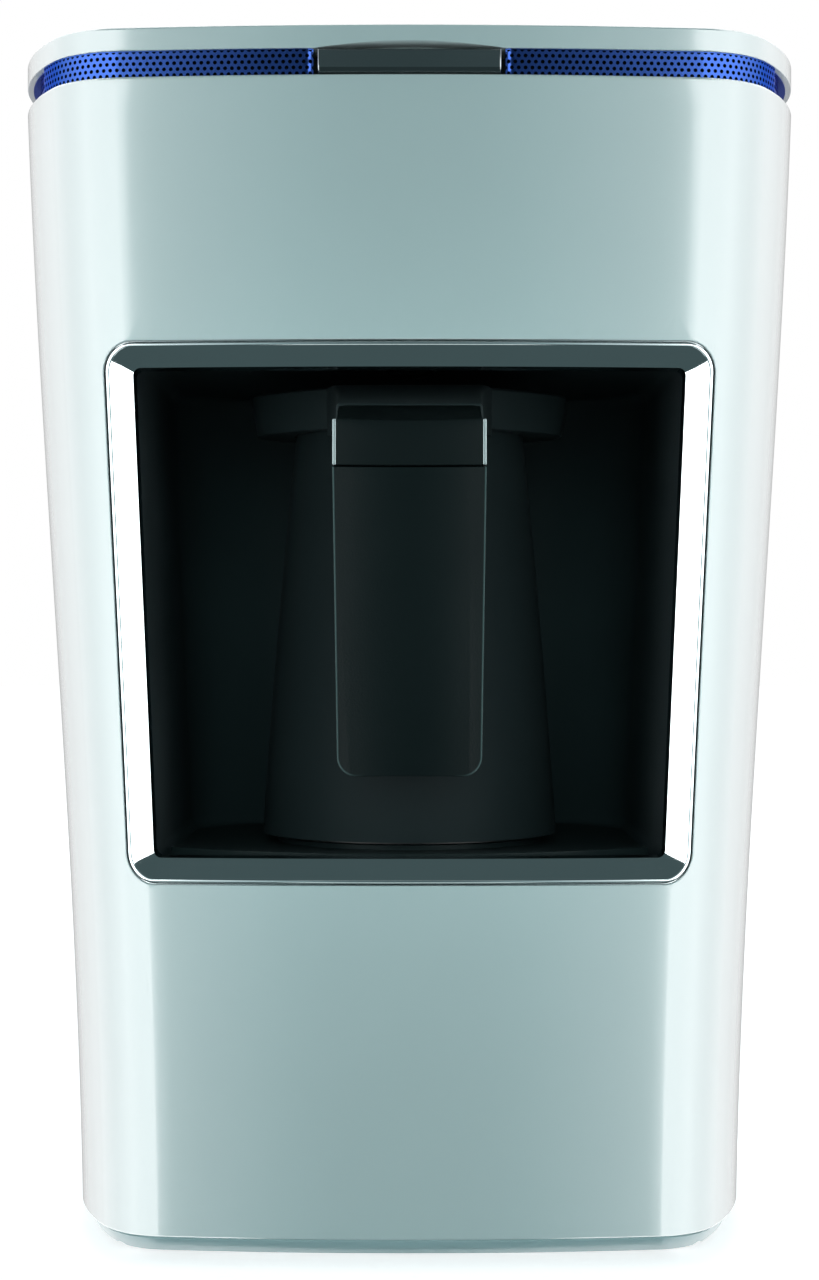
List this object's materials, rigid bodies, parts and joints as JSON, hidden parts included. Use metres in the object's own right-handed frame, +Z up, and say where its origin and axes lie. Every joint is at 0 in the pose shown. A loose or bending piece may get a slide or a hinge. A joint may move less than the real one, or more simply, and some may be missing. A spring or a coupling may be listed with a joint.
{
  "type": "electric turkish coffee maker",
  "caption": "Upright electric coffee maker for Turkish coffee: tapering casing with a window, flat lid on a perforated band, start button, and a pot with a handle that pulls out.",
  "frame": {"origin": "on the surface it stands on, under the middle of the bounding box", "axes": "+Z up, front with window and button towards -Y, +X to the right seen from the front"},
  "size_m": [0.1692, 0.1836, 0.2528],
  "materials": {
    "white_plastic": "glossy moulded",
    "grey_plastic": "satin moulded",
    "blue_metal": "metallic blue lacquer",
    "dark_chrome": "polished dark plating",
    "black_plastic": "fine grain",
    "black_gloss": "polished",
    "rubber": "matt",
    "steel": "zinc plated",
    "dark_steel": "dark non-stick coat, satin",
    "bright_chrome": "polished",
    "brass": "plain",
    "board_green": "solder mask",
    "component_black": "moulded",
    "winding_tape": "taped",
    "silicone": "matt",
    "clear_plastic": "translucent"
  },
  "bodies": {
    "machine": {"outer_casing": "white_plastic", "top_lid": "white_plastic", "rear_cover": "white_plastic", "base_pan": "grey_plastic", "vent_band": "blue_metal", "window_frame": "dark_chrome", "cavity_liner": "black_plastic", "dock_housing": "black_plastic", "cord_gland": "black_plastic", "sensor_housing": "black_plastic", "button_guide": "black_plastic", "dock_tray": "black_gloss", "sensor_lens": "black_gloss", "foot_front_left": "rubber", "foot_front_right": "rubber", "foot_rear_left": "rubber", "foot_rear_right": "rubber", "base_screw_front_left": "steel", "base_screw_front_right": "steel", "base_screw_rear_left": "steel", "base_screw_rear_right": "steel", "lid_screw_left": "steel", "lid_screw_right": "steel", "cover_screw_low_left": "steel", "cover_screw_low_right": "steel", "cover_screw_high_left": "steel", "cover_screw_high_right": "steel", "contact_pin_left": "brass", "contact_pin_middle": "brass", "contact_pin_right": "brass", "main_board": "board_green", "sensor_board": "board_green", "button_board": "board_green", "relay": "component_black", "capacitor": "component_black", "tact_switch": "component_black", "buzzer": "component_black", "transformer": "winding_tape", "terminal_block": "clear_plastic", "light_guide_left": "clear_plastic", "light_guide_right": "clear_plastic"},
    "pot": {"pot_body": "dark_steel", "pot_collar": "black_plastic", "pot_base": "black_plastic", "pot_seal": "silicone", "pot_socket": "component_black", "heater_disc": "steel", "heater_element": "steel", "handle_cap": "black_gloss", "handle_trim_left": "bright_chrome", "handle_trim_right": "bright_chrome", "handle_grip": "rubber", "handle_core": "black_plastic", "handle_screw": "steel"},
    "button": {"start_button": "dark_chrome", "switch_plunger": "silicone"}
  },
  "joints": [
    {"name": "pot_slide", "type": "slide", "parent": "machine", "child": "pot", "axis": [0, -1, 0], "range_m": [0, 0.105]},
    {"name": "start_button_press", "type": "slide", "parent": "machine", "child": "button", "axis": [0, 1, 0], "range_m": [0, 0.001], "stiffness_N_per_m": 800, "springref_m": -0.0005}
  ]
}
